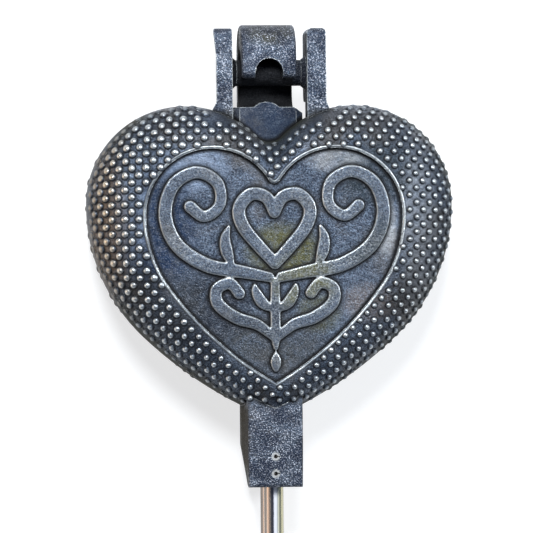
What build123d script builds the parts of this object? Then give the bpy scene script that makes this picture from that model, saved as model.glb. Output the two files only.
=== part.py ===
from build123d import *
import math
import os
from collections import namedtuple

# Pie iron, millimetres, lying flat.  +Z points away from the surface it lies on, and +Y runs
# from the wooden grips towards the hinge.  The origin is the centre of the whole iron's box,
# at its bottom.  Each shape is first drawn about the middle of the heart, and moved at the end.

# Cooking heads: two cast hearts that meet on a flat land
bowl_depth = 18.0
parting_gap = 0.2
rim_edge_height = 1.5
lip_width = 1.2
panel_recess = 1.2
wall = 4.2
land_width = 5.2
dome_steps = 4

# Outline of a head at the land
outer_lobe_x = 27.4
outer_lobe_y = 1.2
outer_lobe_r = 31.9
outer_side_r = 59.0
outer_side_angle = 46.0
outer_tip_y = -68.2
outer_cleft_r = 6.0

# Outline of the sunk panel on the outer face of a head
panel_lobe_x = 20.0
panel_lobe_y = -2.4
panel_lobe_r = 22.6
panel_side_r = 41.0
panel_side_angle = 36.0
panel_tip_y = -57.8
panel_cleft_r = 0.8

# How far a tip moves for each millimetre that a heart outline is drawn in
tip_rise = 1.18

# Hinge: a cast bar between two ears of the front head, in a hook of the rear head
bar_y = 43.7
bar_r = 4.2
bar_root_length = 1.6
bar_root_r = 6.2
ear_gap = 24.2
ear_thickness = 6.2
ear_top_y = 58.1
ear_front = 7.0
ear_back = 6.5
ear_foot_y = 27.2
ear_heel_y = 34.3
ear_corner_r = 3.0
ear_edge_r = 0.8
ear_flare = 3.0
ear_draft = 1.1
left_ear_crown_r = 0.6
left_ear_waist = 1.0
left_ear_waist_y = 49.5
right_ear_crown_inner_r = 2.2
right_ear_crown_outer_r = 1.2

hook_width = 17.7
hook_offset = -0.45
hook_top_y = 59.3
hook_wall = 5.0
hook_play = 0.8
hook_slack = 2.2
hook_lip_end_y = 41.8
hook_edge_r = 1.0
lip_notch_width = 9.0
lip_notch_top_y = 48.2

neck_top_y = 32.7
neck_width = 22.8
neck_right_shoulder_x = 8.4
neck_right_shoulder_drop = 1.9
neck_foot_y = 19.0
neck_side_chamfer = 2.2
neck_bump_width = 8.2
neck_bump_height = 1.7

# Sockets that take the rods
lug_end_y = -90.0
lug_root_y = -58.0
lug_depth = 14.0
lug_taper_y = -76.5
lug_face_width = 17.7
lug_land_width = 19.6
lug_end_land_width = 15.4
rear_lug_end_face_width = 13.0
lug_edge_r = 1.0
lug_hollow_y = -66.0
lug_hollow_r = 6.0

# Rods and their roll pins
rod_r = 3.175
rod_axis_depth = 6.0
rod_fit = 0.04
rod_insert = 22.0
rod_end_gap = 0.4
rod_end_chamfer = 0.6
roll_pin_r = 1.3
roll_pin_bore_r = 0.65
roll_pin_slit = 0.3
roll_pin_first = 4.4
roll_pin_pitch = 5.5
roll_pin_sunk = 0.2
pin_fit = 0.02

# Grips
overall_length = 711.0
grip_length = 130.0
grip_r = 12.0
grip_front_r = 8.6
grip_waist_r = 10.2
grip_end_r = 10.6
grip_swell_from_front = 54.0
grip_waist_from_front = 101.0
grip_end_round = 4.0
grip_groove_pitch = 4.0
grip_groove_width = 1.1
grip_groove_depth = 0.5
grip_bore_depth = 75.0
grip_gap = 0.6
ferrule_length = 13.0
ferrule_wall = 0.9
ferrule_fit = 0.03
ferrule_edge_r = 0.7
cross_pin_r = 1.5
cross_pin_from_front = 36.0
cross_pin_sunk = 0.6

# Bends of the upper rod
upper_bend_start = 14.0
upper_bend_end = 46.0
upper_bend_r = 150.0

# Latch: a strap rolled round the lower rod, which swings over the upper one
latch_from_ferrule = 24.0
latch_width = 12.0
latch_thickness = 1.5
latch_eye_fit = 0.08
latch_leg_gap = 0.7
latch_finger_gap = 0.35
latch_finger_reach = 5.2
latch_corner_r = 1.4
latch_open_angle = 103.0
collar_r = 5.2
collar_width = 3.0
collar_chamfer = 0.7
collar_gap = 0.4

# Places that follow from the sizes above
land_z = parting_gap / 2
lower_rod_z = bowl_depth - rod_axis_depth
lower_grip_z = grip_r
upper_rod_z = bowl_depth + rod_axis_depth
upper_grip_z = lower_rod_z + 2 * grip_r + grip_gap
lug_inner_end_y = lug_end_y + rod_insert
grip_end_y = hook_top_y - overall_length
grip_front_y = grip_end_y + grip_length
rod_head_end_y = lug_inner_end_y - rod_end_gap
rod_grip_end_y = grip_front_y - grip_bore_depth + rod_end_gap
latch_y = grip_front_y + latch_from_ferrule
frame_shift_y = overall_length / 2 - hook_top_y
ear_inner_x = ear_gap / 2
ear_outer_x = ear_inner_x + ear_thickness
hook_inner_r = bar_r + hook_play
hook_outer_r = hook_inner_r + hook_wall

Heart = namedtuple("Heart", "lobe_x lobe_y lobe_r side_r side_angle tip_y cleft_r")

outer_heart = Heart(
    outer_lobe_x,
    outer_lobe_y,
    outer_lobe_r,
    outer_side_r,
    outer_side_angle,
    outer_tip_y,
    outer_cleft_r,
)
panel_heart = Heart(
    panel_lobe_x,
    panel_lobe_y,
    panel_lobe_r,
    panel_side_r,
    panel_side_angle,
    panel_tip_y,
    panel_cleft_r,
)


def between(first, second, share):
    return Heart(*[a + (b - a) * share for a, b in zip(first, second)])


def polar(centre, radius, angle):
    turn = math.radians(angle)
    return (centre[0] + radius * math.cos(turn), centre[1] + radius * math.sin(turn))


def arc_about(centre, radius, start, end):
    middle = (start + end) / 2
    return ThreePointArc(
        polar(centre, radius, start),
        polar(centre, radius, middle),
        polar(centre, radius, end),
    )


def heart_face(heart, inset, height):
    """A heart outline: two lobes, two fuller sides, a tip, and a rounded cleft."""
    lobe = (heart.lobe_x, heart.lobe_y)
    lobe_r = heart.lobe_r - inset
    side_r = heart.side_r - inset
    cleft_r = heart.cleft_r + inset
    side = (heart.lobe_x + heart.lobe_r - heart.side_r, heart.lobe_y)
    cleft = (0, heart.lobe_y + math.sqrt((lobe_r + cleft_r) ** 2 - heart.lobe_x**2))
    cleft_turn = math.degrees(math.atan2(cleft[1] - lobe[1], cleft[0] - lobe[0]))
    tip = (0, heart.tip_y + inset * tip_rise)
    shoulder = polar(side, side_r, -heart.side_angle)
    heading = math.radians(-heart.side_angle - 90)
    right = [
        arc_about(lobe, lobe_r, cleft_turn, 0),
        arc_about(side, side_r, 0, -heart.side_angle),
        TangentArc([shoulder, tip], tangent=(math.cos(heading), math.sin(heading))),
    ]
    left = [edge.mirror(Plane.YZ) for edge in reversed(right)]
    notch = arc_about(cleft, cleft_r, cleft_turn - 180, -cleft_turn)
    outline = Wire([notch] + right + left)
    return Pos(0, 0, height) * make_face(outline)


def dome(depth, inset, start_z):
    """The swelling shell between the land and the sunk panel."""
    sections = []
    for step in range(dome_steps + 1):
        turn = math.pi / 2 * step / dome_steps
        share = 1 - math.cos(turn)
        height = start_z + (depth - start_z) * math.sin(turn)
        sections.append(heart_face(between(outer_heart, panel_heart, share), inset, height))
    return loft(sections)


def cavity():
    """The hollow that holds the filling, with a flat land left round it."""
    floor = bowl_depth - panel_recess - wall
    mouth = extrude(heart_face(outer_heart, land_width, land_z), rim_edge_height)
    bowl = dome(floor, land_width, land_z + rim_edge_height)
    return mouth + bowl


def bowl(lug_end_face_width):
    """One cast heart, its land near z = 0 and its sunk panel at the top."""
    edge = extrude(heart_face(outer_heart, 0, land_z), rim_edge_height)
    shell = edge + dome(bowl_depth, 0, land_z + rim_edge_height)
    panel = heart_face(panel_heart, lip_width, bowl_depth - panel_recess)
    shell -= extrude(panel, 2 * panel_recess)
    hollow = Rot(0, 90, 0) * Cylinder(lug_hollow_r, lug_face_width)
    shell -= Pos(0, lug_hollow_y, lug_depth + lug_hollow_r) * hollow
    return shell + lug(lug_end_face_width) - cavity() - lug_bores()


def lug_outline(width, end_width, height):
    """The socket block at one height: straight sides that draw in towards its end."""
    corners = [
        (-width / 2, lug_root_y),
        (-width / 2, lug_taper_y),
        (-end_width / 2, lug_end_y),
        (end_width / 2, lug_end_y),
        (width / 2, lug_taper_y),
        (width / 2, lug_root_y),
    ]
    return Pos(0, 0, height) * make_face(Polyline(*corners, close=True))


def lug(end_face_width):
    """The socket block: it draws in towards its face and towards its end."""
    land = lug_outline(lug_land_width, lug_end_land_width, land_z)
    face = lug_outline(lug_face_width, end_face_width, lug_depth)
    block = loft([land, face], ruled=True)
    rim = block.edges().group_by(Axis.Z)[-1].sort_by(Axis.Y)[:-1]
    return fillet(rim, lug_edge_r)


def pin_places():
    first = lug_end_y + roll_pin_first
    return [first, first + roll_pin_pitch]


def lug_bores():
    rod_bore = Cylinder(rod_r + rod_fit, rod_insert, align=(Align.CENTER, Align.CENTER, Align.MIN))
    bores = Pos(0, lug_end_y, rod_axis_depth) * Rot(-90, 0, 0) * rod_bore
    for place in pin_places():
        hole = Cylinder(roll_pin_r + pin_fit, 3 * lug_depth)
        bores += Pos(0, place, 0) * hole
    return bores


def ear_plan(outer, waist, crown_inner_r, crown_outer_r, height):
    """An ear seen from the front, at one height: its crown, and the flare of its outer side."""
    corners = [(ear_inner_x, ear_foot_y), (ear_inner_x, ear_top_y), (outer, ear_top_y)]
    rounding = [crown_inner_r, crown_outer_r, ear_flare]
    if waist:
        corners.append((outer - waist, left_ear_waist_y))
        rounding.insert(-1, ear_flare)
    corners.append((outer - waist, ear_heel_y))
    corners.append((outer + ear_flare, ear_foot_y))
    line = FilletPolyline(*corners, radius=rounding)
    foot = Line((outer + ear_flare, ear_foot_y), (ear_inner_x, ear_foot_y))
    return Pos(0, 0, height) * make_face(Wire([*line.edges(), foot]))


def ear(side):
    """One hinge ear, drawn in towards its back.  The right one has the rounder crown."""
    outer = ear_outer_x
    waist = left_ear_waist
    crown = (left_ear_crown_r, left_ear_crown_r)
    if side > 0:
        waist = 0
        crown = (right_ear_crown_inner_r, right_ear_crown_outer_r)
    front = ear_plan(outer, waist, *crown, ear_front)
    back = ear_plan(outer - ear_draft, waist, *crown, -ear_back)
    plate = loft([back, front], ruled=True)
    profile_line = FilletPolyline(
        (ear_foot_y, land_z),
        (ear_foot_y, ear_front),
        (ear_top_y, ear_front),
        (ear_top_y, -ear_back),
        (ear_heel_y, -ear_back),
        (ear_heel_y, land_z),
        radius=[ear_edge_r, ear_corner_r, ear_corner_r, ear_corner_r],
    )
    closing = Line((ear_heel_y, land_z), (ear_foot_y, land_z))
    profile = Plane.YZ * make_face(Wire([*profile_line.edges(), closing]))
    plate &= extrude(profile, outer + 2 * ear_flare)
    return plate if side > 0 else plate.mirror(Plane.YZ)


def hinge_bar():
    """The bar cast between the ears, with a short cone at each end."""
    half = ear_inner_x
    line = Polyline(
        (0, 0),
        (bar_r, 0),
        (bar_r, half - bar_root_length),
        (bar_root_r, half + ear_edge_r),
        (0, half + ear_edge_r),
        close=True,
    )
    right = Plane.XY * revolve(Plane.XZ * make_face(line), Axis.Z)
    bar = right + right.mirror(Plane.XY)
    return Pos(0, bar_y, 0) * Rot(0, 90, 0) * bar


def hook():
    """The hook that wraps over the bar from behind, and the neck that carries it."""
    crown_y = hook_top_y - hook_outer_r
    eye_y = bar_y + hook_slack
    scoop_y = neck_top_y + hook_inner_r
    lip_middle = (hook_inner_r + hook_outer_r) / 2
    lip_tip_r = hook_wall / 2
    lip_foot_y = hook_lip_end_y + lip_tip_r
    outline = [
        Line((neck_foot_y, -hook_outer_r), (crown_y, -hook_outer_r)),
        ThreePointArc((crown_y, -hook_outer_r), (hook_top_y, 0), (crown_y, hook_outer_r)),
        Line((crown_y, hook_outer_r), (lip_foot_y, hook_outer_r)),
        ThreePointArc(
            (lip_foot_y, hook_outer_r),
            (hook_lip_end_y, lip_middle),
            (lip_foot_y, hook_inner_r),
        ),
        Line((lip_foot_y, hook_inner_r), (eye_y, hook_inner_r)),
        ThreePointArc((eye_y, hook_inner_r), (eye_y + hook_inner_r, 0), (eye_y, -hook_inner_r)),
        Line((eye_y, -hook_inner_r), (scoop_y, -hook_inner_r)),
        ThreePointArc(
            (scoop_y, -hook_inner_r),
            (scoop_y - hook_inner_r * math.sin(math.pi / 4), -hook_inner_r * math.cos(math.pi / 4)),
            (neck_top_y, -land_z),
        ),
        Line((neck_top_y, -land_z), (neck_foot_y, -land_z)),
        Line((neck_foot_y, -land_z), (neck_foot_y, -hook_outer_r)),
    ]
    profile = Plane.YZ * make_face(Wire(outline))
    strap = Pos(hook_offset, 0, 0) * extrude(profile, hook_width / 2, both=True)
    front_edges = strap.edges().filter_by(Axis.Y).group_by(Axis.Z)[-1]
    strap = fillet(front_edges, hook_edge_r)
    notch_r = lip_notch_width / 2
    notch = Box(lip_notch_width, 2 * notch_r, 2 * hook_wall)
    notch += Pos(0, notch_r, 0) * Cylinder(notch_r, 2 * hook_wall)
    notch_y = lip_notch_top_y - 2 * notch_r
    strap -= Pos(hook_offset, notch_y, lip_middle) * notch
    return strap


def neck():
    """The plate that fills the cleft of the rear heart and joins it to the hook."""
    side_x = neck_width / 2
    corners = [
        (-side_x, neck_foot_y),
        (-side_x, neck_top_y),
        (neck_right_shoulder_x, neck_top_y),
        (side_x, neck_top_y - neck_right_shoulder_drop),
        (side_x, neck_foot_y),
    ]
    plan = Pos(0, 0, -hook_outer_r) * make_face(Polyline(*corners, close=True))
    plate = extrude(plan, hook_outer_r - land_z)
    sides = plate.edges().filter_by(Axis.Y).group_by(Axis.Z)[-1]
    plate = chamfer(sides, neck_side_chamfer)
    scoop = Rot(0, 90, 0) * Cylinder(hook_inner_r, 2 * neck_width)
    plate -= Pos(0, neck_top_y + hook_inner_r, 0) * scoop
    bump_r = (neck_bump_width**2 / 4 + neck_bump_height**2) / (2 * neck_bump_height)
    bump = Cylinder(bump_r, hook_wall, align=(Align.CENTER, Align.CENTER, Align.MAX))
    bump = Pos(hook_offset, neck_top_y + neck_bump_height - bump_r, -land_z) * bump
    plate += bump & Pos(hook_offset, neck_top_y, 0) * Box(neck_bump_width, bump_r, 2 * hook_wall)
    return plate


def front_half():
    body = bowl(lug_face_width)
    body += ear(1)
    body += ear(-1)
    body += hinge_bar()
    return Pos(0, 0, bowl_depth) * body


def rear_half():
    body = bowl(rear_lug_end_face_width).mirror(Plane.XY)
    body += neck() + hook()
    body -= cavity().mirror(Plane.XY)
    return Pos(0, 0, bowl_depth) * body


def roll_pin(place, side):
    """A slit spring-steel tube driven through the socket and the rod."""
    top = lug_depth - roll_pin_sunk
    length = top - land_z - roll_pin_sunk
    tube = Cylinder(roll_pin_r, length, align=(Align.CENTER, Align.CENTER, Align.MAX))
    tube -= Cylinder(roll_pin_bore_r, length, align=(Align.CENTER, Align.CENTER, Align.MAX))
    slit = Box(roll_pin_r + pin_fit, roll_pin_slit, length, align=(Align.MIN, Align.CENTER, Align.MAX))
    pin = Pos(0, place, top) * (tube - slit)
    if side < 0:
        pin = pin.mirror(Plane.XY)
    return Pos(0, 0, bowl_depth) * pin


def rod_holes(rod, grip_z):
    for place in pin_places():
        rod -= Pos(0, place, bowl_depth) * Cylinder(roll_pin_r + pin_fit, 4 * lug_depth)
    cross = Rot(0, 90, 0) * Cylinder(cross_pin_r + pin_fit, 4 * rod_r)
    return rod - Pos(0, grip_front_y - cross_pin_from_front, grip_z) * cross


def lower_rod():
    length = rod_head_end_y - rod_grip_end_y
    bar = Cylinder(rod_r, length, align=(Align.CENTER, Align.CENTER, Align.MIN))
    bar = chamfer(bar.edges(), rod_end_chamfer)
    rod = Pos(0, rod_grip_end_y, lower_rod_z) * Rot(-90, 0, 0) * bar
    return rod_holes(rod, lower_rod_z)


def upper_rod():
    """The upper rod leaves its socket straight, then climbs so that the grips can lie side by side."""
    line = FilletPolyline(
        (0, rod_head_end_y, upper_rod_z),
        (0, lug_end_y - upper_bend_start, upper_rod_z),
        (0, grip_front_y + upper_bend_end, upper_grip_z),
        (0, rod_grip_end_y, upper_grip_z),
        radius=upper_bend_r,
    )
    section = Plane(line @ 0, z_dir=line % 0) * Circle(rod_r)
    return rod_holes(sweep(section, line), upper_grip_z)


def grip(grip_z):
    """A turned hardwood grip with a tenon for the ferrule and a blind bore for the rod."""
    tenon_r = grip_front_r - ferrule_wall - ferrule_fit
    tenon_end = ferrule_length - ferrule_wall
    round_y = grip_length - grip_end_round
    outline = [
        Line((rod_r + rod_fit, 0), (tenon_r, 0)),
        Line((tenon_r, 0), (tenon_r, tenon_end)),
        Line((tenon_r, tenon_end), (grip_front_r, tenon_end)),
        Spline(
            (grip_front_r, tenon_end),
            (grip_r, grip_swell_from_front),
            (grip_waist_r, grip_waist_from_front),
            (grip_end_r, round_y),
            tangents=[(0, 1), (0, 1), (0, 1), (0, 1)],
        ),
        arc_about((grip_end_r - grip_end_round, round_y), grip_end_round, 0, 90),
        Line((grip_end_r - grip_end_round, grip_length), (0, grip_length)),
        Line((0, grip_length), (0, grip_bore_depth)),
        Line((0, grip_bore_depth), (rod_r + rod_fit, grip_bore_depth)),
        Line((rod_r + rod_fit, grip_bore_depth), (rod_r + rod_fit, 0)),
    ]
    body = revolve(Plane.XZ * make_face(Wire(outline)), Axis.Z)
    cross = Rot(0, 90, 0) * Cylinder(cross_pin_r + pin_fit, 4 * grip_r)
    body -= Pos(0, 0, cross_pin_from_front) * cross
    for step in (-1, 0, 1):
        body -= grip_groove(grip_swell_from_front + step * grip_groove_pitch)
    return Pos(0, grip_front_y, grip_z) * Rot(90, 0, 0) * body


def grip_groove(place):
    """The ring that a turning tool's corner cuts into the swell of a grip."""
    corners = [
        (grip_r - grip_groove_depth, place),
        (grip_r + grip_groove_depth, place - grip_groove_width),
        (grip_r + grip_groove_depth, place + grip_groove_width),
    ]
    return revolve(Plane.XZ * make_face(Polyline(*corners, close=True)), Axis.Z)


def ferrule(grip_z):
    """A pressed steel cup over the tenon that keeps the wood from splitting."""
    outline = Polyline(
        (rod_r + rod_fit, -ferrule_wall),
        (grip_front_r, -ferrule_wall),
        (grip_front_r, ferrule_length - 2 * ferrule_wall),
        (grip_front_r - ferrule_wall, ferrule_length - 2 * ferrule_wall),
        (grip_front_r - ferrule_wall, -ferrule_fit),
        (rod_r + rod_fit, -ferrule_fit),
        close=True,
    )
    cup = revolve(Plane.XZ * make_face(outline), Axis.Z)
    cup = fillet(cup.edges().group_by(Axis.Z)[0].sort_by(SortBy.RADIUS)[-1], ferrule_edge_r)
    return Pos(0, grip_front_y, grip_z) * Rot(90, 0, 0) * cup


def cross_pin(grip_z):
    length = 2 * (grip_waist_r + cross_pin_sunk)
    pin = chamfer(Cylinder(cross_pin_r, length).edges(), cross_pin_r / 4)
    return Pos(0, grip_front_y - cross_pin_from_front, grip_z) * Rot(0, 90, 0) * pin


def latch_hook():
    """A steel strap: an eye round the lower rod, a leg, and a finger that arcs over the upper rod."""
    eye_inner = rod_r + latch_eye_fit
    eye_outer = eye_inner + latch_thickness
    finger_inner = upper_grip_z - lower_rod_z + rod_r + latch_finger_gap
    finger_outer = finger_inner + latch_thickness
    leg_x = -(rod_r + latch_leg_gap)
    eye = Circle(eye_outer) - Circle(eye_inner)
    leg_top = math.sqrt(finger_outer**2 - (leg_x - latch_thickness) ** 2)
    leg = make_face(
        Polyline(
            (leg_x, leg_top),
            (leg_x - latch_thickness, leg_top),
            (-eye_outer, 0),
            (-eye_inner, 0),
            close=True,
        )
    )
    ring = Circle(finger_outer) - Circle(finger_inner)
    reach = latch_finger_reach - leg_x + latch_thickness
    window = Pos(leg_x - latch_thickness, finger_inner, 0)
    window *= Rectangle(reach, 4 * latch_thickness, align=(Align.MIN, Align.CENTER))
    flat = eye + leg + (ring & window)
    flat = fillet(flat.vertices().sort_by(Axis.Y)[-4:].sort_by(Axis.X)[0], latch_corner_r)
    strap = extrude(Plane.XZ * flat, latch_width / 2, both=True)
    strap = Rot(0, -latch_open_angle, 0) * strap
    return Pos(0, latch_y, lower_rod_z) * strap


def collar(side):
    """A ring crimped on the lower rod beside the latch."""
    ring = Cylinder(collar_r, collar_width)
    ring = chamfer(ring.edges().filter_by(GeomType.CIRCLE), collar_chamfer)
    ring -= Cylinder(rod_r + rod_fit, collar_width)
    place = latch_y + side * (latch_width / 2 + collar_gap + collar_width / 2)
    return Pos(0, place, lower_rod_z) * Rot(90, 0, 0) * ring


parts = {
    "rear_half": rear_half(),
    "rear_rod": lower_rod(),
    "rear_ferrule": ferrule(lower_grip_z),
    "rear_handle": grip(lower_grip_z),
    "rear_handle_pin": cross_pin(lower_grip_z),
    "latch_collar_front": collar(1),
    "latch_collar_back": collar(-1),
    "latch_hook": latch_hook(),
    "front_half": front_half(),
    "front_rod": upper_rod(),
    "front_ferrule": ferrule(upper_grip_z),
    "front_handle": grip(upper_grip_z),
    "front_handle_pin": cross_pin(upper_grip_z),
}

for number, place in enumerate(pin_places(), start=1):
    parts[f"rear_roll_pin_{number}"] = roll_pin(place, -1)
    parts[f"front_roll_pin_{number}"] = roll_pin(place, 1)

os.makedirs("parts", exist_ok=True)
for name, solid in parts.items():
    export_step(Pos(0, frame_shift_y, 0) * solid, f"parts/{name}.step")
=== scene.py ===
import bpy
import bmesh
import math
from mathutils import Matrix, Vector


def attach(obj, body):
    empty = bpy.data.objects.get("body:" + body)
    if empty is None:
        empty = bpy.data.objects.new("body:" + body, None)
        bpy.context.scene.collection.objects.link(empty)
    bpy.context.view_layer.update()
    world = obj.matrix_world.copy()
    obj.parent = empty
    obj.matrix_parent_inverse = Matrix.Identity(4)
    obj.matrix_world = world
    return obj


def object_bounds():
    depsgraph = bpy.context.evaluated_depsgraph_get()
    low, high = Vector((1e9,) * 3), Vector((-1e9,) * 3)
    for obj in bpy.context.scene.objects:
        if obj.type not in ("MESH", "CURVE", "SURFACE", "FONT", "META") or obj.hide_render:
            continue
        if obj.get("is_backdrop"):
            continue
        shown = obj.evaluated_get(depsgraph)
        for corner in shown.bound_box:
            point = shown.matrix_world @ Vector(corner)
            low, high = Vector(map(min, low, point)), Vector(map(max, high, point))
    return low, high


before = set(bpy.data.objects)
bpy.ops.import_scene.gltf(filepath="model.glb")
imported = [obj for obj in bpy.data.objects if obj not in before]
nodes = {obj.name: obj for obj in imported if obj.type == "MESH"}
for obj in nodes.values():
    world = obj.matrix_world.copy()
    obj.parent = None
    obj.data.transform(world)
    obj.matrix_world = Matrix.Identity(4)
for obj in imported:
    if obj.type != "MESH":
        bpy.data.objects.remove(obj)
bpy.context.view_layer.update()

# Castings.  Both heads are grey iron, sand cast, each with its socket and its share of the hinge.
# The skin is dark and seasoned, speckled by the sand, browned in places and worn bright on edges;
# painted shade and painted light are laid into its colour too.
mm = 0.001
heart_middle_y = 296.2 * mm
parting_z = 18 * mm
hinge_y = heart_middle_y + 43.7 * mm
hinge_end = (27 * mm, 33 * mm)
socket_end = (-62 * mm, -66 * mm)
socket_flank_x = (8.6 * mm, 8.9 * mm)
neck_edge_x = (11.45 * mm, 11.6 * mm)
neck_foot = (16.0 * mm, 18.0 * mm)
neck_head = (34.0 * mm, 34.8 * mm)
past_cleft = (15 * mm, 17 * mm)
left_rim_x = (-57 * mm, -42 * mm)
flank_dark_range = (4.5 * mm, 14.6 * mm)
skin_dark = (0.018, 0.024, 0.040, 1)
skin_light = (0.105, 0.138, 0.188, 1)
skin_brown = (0.075, 0.062, 0.046, 1)
skin_haze = (0.26, 0.31, 0.40, 1)
skin_shade = (0.012, 0.017, 0.034, 1)
skin_speck = (0.66, 0.69, 0.78, 1)
# Olive black for the fire's black and the painted shade on the flanks.
fire_and_shade_olive = (0.030, 0.030, 0.018, 1)
# Black for soot and painted shade in corners, creases and the hinge.
soot_and_shade_black = (0.006, 0.006, 0.007, 1)
socket_side_shade_brown = (0.024, 0.019, 0.011, 1)
worn_iron = (0.57, 0.60, 0.61, 1)
worn_straw_glint = (0.60, 0.50, 0.37, 1)
iron_gloss = 0.20


def put(tree, kind, inputs=(), **settings):
    made = tree.nodes.new(kind)
    for name, value in settings.items():
        setattr(made, name, value)
    for key, value in dict(inputs).items():
        if isinstance(value, bpy.types.NodeSocket):
            tree.links.new(value, made.inputs[key])
        else:
            made.inputs[key].default_value = value
    return made


def sums(tree, operation, first, second=0.0, clamp=False):
    made = put(tree, "ShaderNodeMath", {0: first, 1: second}, operation=operation, use_clamp=clamp)
    return made.outputs[0]


def times(tree, first, second):
    return sums(tree, "MULTIPLY", first, second)


def most(tree, first, second):
    return sums(tree, "MAXIMUM", first, second)


def scaled(tree, value, factor, base):
    """The value times the factor, plus the base."""
    made = put(tree, "ShaderNodeMath", {0: value, 1: factor, 2: base}, operation="MULTIPLY_ADD")
    return made.outputs[0]


def spread(tree, value, low, high, start=0.0, end=1.0):
    """The value eased from start at the low limit to end at the high one."""
    inputs = {"Value": value, "From Min": low, "From Max": high, "To Min": start, "To Max": end}
    return put(tree, "ShaderNodeMapRange", inputs, interpolation_type="SMOOTHSTEP").outputs[0]


def blend_colors(tree, share, first, second):
    made = put(tree, "ShaderNodeMix", data_type="RGBA")
    for socket, value in ((made.inputs[0], share), (made.inputs[6], first), (made.inputs[7], second)):
        if isinstance(value, bpy.types.NodeSocket):
            tree.links.new(value, socket)
        else:
            socket.default_value = value
    return made.outputs[2]


def object_place(tree):
    return put(tree, "ShaderNodeTexCoord").outputs["Object"]


def split(tree, vector):
    return put(tree, "ShaderNodeSeparateXYZ", {0: vector}).outputs


def noise(tree, place, size, detail=2.0, roughness=0.5, distortion=0.0):
    """Noise whose lumps are about the size given, in metres or by a socket."""
    linked = isinstance(size, bpy.types.NodeSocket)
    inputs = {
        "Vector": place,
        "Scale": sums(tree, "DIVIDE", 1.0, size) if linked else 1 / size,
        "Detail": detail,
        "Roughness": roughness,
        "Distortion": distortion,
    }
    return put(tree, "ShaderNodeTexNoise", inputs).outputs["Fac"]


def new_group(name, takes, gives):
    group = bpy.data.node_groups.new(name, "ShaderNodeTree")
    for label, kind, default in takes:
        socket = group.interface.new_socket(label, in_out="INPUT", socket_type=kind)
        socket.default_value = default
    for label, kind in gives:
        group.interface.new_socket(label, in_out="OUTPUT", socket_type=kind)
    start = group.nodes.new("NodeGroupInput")
    end = group.nodes.new("NodeGroupOutput")
    return group, start, end


def use_group(tree, group, **inputs):
    made = put(tree, "ShaderNodeGroup", node_tree=group)
    for label, value in inputs.items():
        made.inputs[label.replace("_", " ").title()].default_value = value
    return made


def new_material(name):
    material = bpy.data.materials.new(name)
    material.use_nodes = True
    tree = material.node_tree
    return material, tree, tree.nodes["Principled BSDF"]


def set_material(piece, material):
    piece.data.materials.clear()
    piece.data.materials.append(material)


def add_bump(tree, shader, height, depth, strength):
    made = put(tree, "ShaderNodeBump", {"Height": height, "Distance": depth, "Strength": strength})
    tree.links.new(made.outputs[0], shader.inputs["Normal"])


# Sand grain: speckles of the mould sand, soft lumps of the casting, and broad stains.
sand_grain, grain_in, grain_out = new_group(
    "sand_grain",
    [("Grain Size", "NodeSocketFloat", 0.5 * mm), ("Lump Size", "NodeSocketFloat", 3 * mm)],
    [
        ("Height", "NodeSocketFloat"),
        ("Speckle", "NodeSocketFloat"),
        ("Stain", "NodeSocketFloat"),
        ("Haze", "NodeSocketFloat"),
        ("Specks", "NodeSocketFloat"),
    ],
)
place = object_place(sand_grain)
grains = noise(sand_grain, place, grain_in.outputs["Grain Size"], 3.0, 0.65)
lumps = noise(sand_grain, place, grain_in.outputs["Lump Size"], 2.0, 0.5)
pits = put(
    sand_grain,
    "ShaderNodeTexVoronoi",
    {"Vector": place, "Scale": sums(sand_grain, "DIVIDE", 0.5, grain_in.outputs["Grain Size"])},
).outputs["Distance"]
pit_depth = spread(sand_grain, pits, 0.0, 0.35, -0.6, 0.0)
height = sums(sand_grain, "ADD", times(sand_grain, lumps, 1.6), grains)
height = sums(sand_grain, "ADD", height, pit_depth)
stain = noise(sand_grain, place, 26 * mm, 4.0, 0.6, 0.6)
haze = noise(sand_grain, place, 17 * mm, 5.0, 0.7, 0.3)
speck_size = times(sand_grain, grain_in.outputs["Grain Size"], 0.9)
specks = noise(sand_grain, place, speck_size, 2.0, 0.5)
sand_grain.links.new(height, grain_out.inputs["Height"])
sand_grain.links.new(spread(sand_grain, grains, 0.38, 0.68), grain_out.inputs["Speckle"])
sand_grain.links.new(spread(sand_grain, stain, 0.48, 0.66), grain_out.inputs["Stain"])
sand_grain.links.new(spread(sand_grain, haze, 0.42, 0.70), grain_out.inputs["Haze"])
sand_grain.links.new(spread(sand_grain, specks, 0.53, 0.65), grain_out.inputs["Specks"])

# Edge wear: how far an edge is rubbed bright, and how far a corner holds soot and painted shade, where
# less light reaches it.
edge_wear_and_shade, wear_in, wear_out = new_group(
    "edge_wear_and_shade",
    [("Radius", "NodeSocketFloat", 0.5 * mm), ("Reach", "NodeSocketFloat", 1.6 * mm)],
    [("Worn", "NodeSocketFloat"), ("Soot And Shade", "NodeSocketFloat")],
)
rounded = put(edge_wear_and_shade, "ShaderNodeBevel", {"Radius": wear_in.outputs["Radius"]}, samples=4).outputs[0]
facing = put(edge_wear_and_shade, "ShaderNodeNewGeometry").outputs["Normal"]
lean = put(
    edge_wear_and_shade,
    "ShaderNodeVectorMath",
    {0: rounded, 1: facing},
    operation="DOT_PRODUCT",
).outputs["Value"]
shelter = put(
    edge_wear_and_shade,
    "ShaderNodeAmbientOcclusion",
    {"Distance": wear_in.outputs["Reach"]},
    samples=6,
).outputs["AO"]
bend = spread(edge_wear_and_shade, lean, 0.985, 0.86)
open_edge = times(edge_wear_and_shade, bend, spread(edge_wear_and_shade, shelter, 0.62, 0.85))
rub = noise(edge_wear_and_shade, object_place(edge_wear_and_shade), 1.4 * mm, 3.0, 0.6)
worn = sums(edge_wear_and_shade, "MULTIPLY", open_edge, spread(edge_wear_and_shade, rub, 0.30, 0.55), True)
edge_wear_and_shade.links.new(worn, wear_out.inputs["Worn"])
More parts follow.
